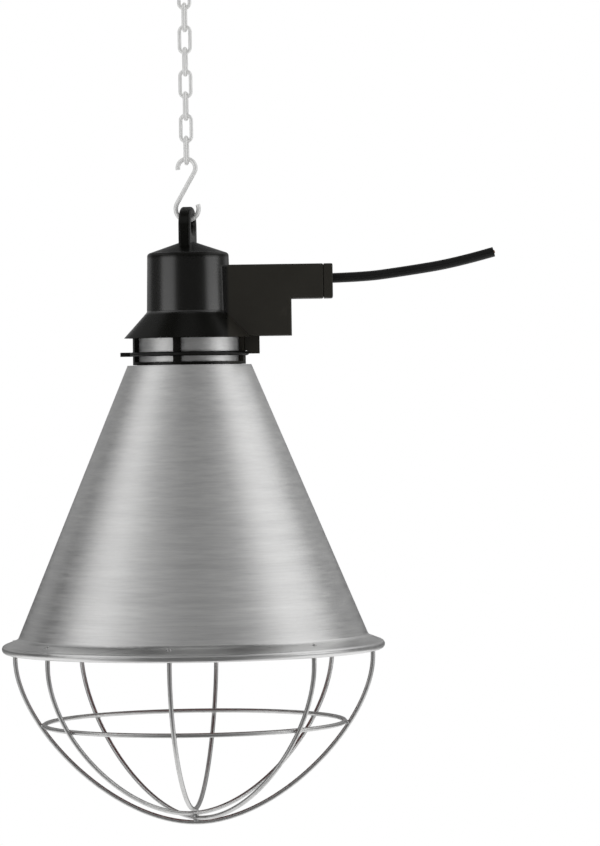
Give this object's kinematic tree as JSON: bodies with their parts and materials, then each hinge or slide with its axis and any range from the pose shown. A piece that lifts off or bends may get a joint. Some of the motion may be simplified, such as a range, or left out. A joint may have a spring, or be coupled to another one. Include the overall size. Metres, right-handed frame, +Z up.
{
  "type": "infrared heat lamp",
  "caption": "Hanging infrared heat lamp: conical aluminium reflector with rolled rim and wire guard, screw-in bulb, black holder with side terminal box and cord, on a link chain.",
  "frame": {"origin": "bearing point of the top hook, inside its upper bow and on the lamp's axis", "axes": "+Z up along the hanging lamp's axis, +X towards the terminal box and the cord, -Y to the front"},
  "size_m": [0.2791, 0.2144, 0.5099],
  "materials": {
    "zinc_wire": "bright zinc-plated wire",
    "guard_wire": "satin zinc-plated wire",
    "ring_wire": "dark spring wire",
    "black_moulding": "soft satin black",
    "cord_jacket": "matt black jacket",
    "aluminium_sheet": "spun and brushed around the axis",
    "steel_screws": "zinc-plated",
    "brass_parts": "plain brass",
    "terminal_insulator": "matt cream",
    "brown_core": "insulation",
    "blue_core": "insulation",
    "heatproof_lead": "heatproof sleeve",
    "porcelain": "white glaze",
    "red_glass": "red-lacquered face",
    "cap_metal": "thin rolled sheet",
    "black_glass": "fused black glass",
    "solder": "soft solder",
    "clear_glass": "clear",
    "tungsten": "grey wire"
  },
  "bodies": {
    "hook": {"top_hook": "zinc_wire"},
    "link_1": {"chain_link_1": "zinc_wire"},
    "link_2": {"chain_link_2": "zinc_wire"},
    "link_3": {"chain_link_3": "zinc_wire"},
    "link_4": {"chain_link_4": "zinc_wire"},
    "link_5": {"chain_link_5": "zinc_wire"},
    "link_6": {"chain_link_6": "zinc_wire"},
    "link_7": {"chain_link_7": "zinc_wire"},
    "link_8": {"chain_link_8": "zinc_wire"},
    "s_hook": {"lamp_hook": "zinc_wire"},
    "lamp": {"holder": "black_moulding", "box_cover": "black_moulding", "cover_screws": "steel_screws", "cord_gland": "black_moulding", "cord_grip": "black_moulding", "grip_screw": "steel_screws", "cord": "cord_jacket", "terminal_block": "terminal_insulator", "terminal_screws": "brass_parts", "core_live": "brown_core", "core_neutral": "blue_core", "lead_live": "heatproof_lead", "lead_neutral": "heatproof_lead", "collar": "black_moulding", "collar_screws": "steel_screws", "retaining_ring": "ring_wire", "reflector": "aluminium_sheet", "lampholder": "porcelain", "holder_screws": "steel_screws", "contact_screws": "brass_parts", "screw_shell": "brass_parts", "centre_contact": "brass_parts"},
    "guard": {"guard_wire_1": "guard_wire", "guard_wire_2": "guard_wire", "guard_wire_3": "guard_wire", "guard_wire_4": "guard_wire", "guard_ring": "guard_wire"},
    "bulb_centre": {"bulb_tip": "solder", "bulb_insulator": "black_glass"},
    "bulb": {"bulb_glass": "red_glass", "bulb_cap": "cap_metal", "bulb_stem": "clear_glass", "filament": "tungsten"}
  },
  "joints": [
    {"name": "link_1_swing", "type": "hinge", "parent": "hook", "child": "link_1", "pos_m": [0, 0, -0.038], "axis": [0.1736, 0.9848, 0], "range_deg": [-20, 20]},
    {"name": "link_2_swing", "type": "hinge", "parent": "link_1", "child": "link_2", "pos_m": [0, 0, -0.0499], "axis": [0.9848, -0.1736, 0], "range_deg": [-20, 20]},
    {"name": "link_3_swing", "type": "hinge", "parent": "link_2", "child": "link_3", "pos_m": [0, 0, -0.0623], "axis": [0.1736, 0.9848, 0], "range_deg": [-20, 20]},
    {"name": "link_4_swing", "type": "hinge", "parent": "link_3", "child": "link_4", "pos_m": [0, 0, -0.0747], "axis": [0.9848, -0.1736, 0], "range_deg": [-20, 20]},
    {"name": "link_5_swing", "type": "hinge", "parent": "link_4", "child": "link_5", "pos_m": [0, 0, -0.0871], "axis": [0.1736, 0.9848, 0], "range_deg": [-20, 20]},
    {"name": "link_6_swing", "type": "hinge", "parent": "link_5", "child": "link_6", "pos_m": [0, 0, -0.0995], "axis": [0.9848, -0.1736, 0], "range_deg": [-20, 20]},
    {"name": "link_7_swing", "type": "hinge", "parent": "link_6", "child": "link_7", "pos_m": [0, 0, -0.1119], "axis": [0.1736, 0.9848, 0], "range_deg": [-20, 20]},
    {"name": "link_8_swing", "type": "hinge", "parent": "link_7", "child": "link_8", "pos_m": [0, 0, -0.1243], "axis": [0.9848, -0.1736, 0], "range_deg": [-20, 20]},
    {"name": "s_hook_swing", "type": "hinge", "parent": "link_8", "child": "s_hook", "pos_m": [0, 0, -0.1367], "axis": [0.1736, 0.9848, 0], "range_deg": [-20, 20]},
    {"name": "lamp_swing", "type": "hinge", "parent": "s_hook", "child": "lamp", "pos_m": [0, 0, -0.1685], "axis": [0.9848, -0.1736, 0], "range_deg": [-20, 20]},
    {"name": "guard_pull", "type": "slide", "parent": "lamp", "child": "guard", "axis": [0, 0, -1], "range_m": [0, 0.06]},
    {"name": "bulb_drop", "type": "slide", "parent": "lamp", "child": "bulb_centre", "axis": [0, 0, -1], "range_m": [0, 0.02534]},
    {"name": "bulb_turn", "type": "hinge", "parent": "bulb_centre", "child": "bulb", "pos_m": [0, 0, -0.3109], "axis": [0, 0, -1], "range_deg": [0, 2515]}
  ],
  "couplings": [
    {"joint": "bulb_drop", "follows": "bulb_turn", "m_per_rad": 0.00057614}
  ]
}
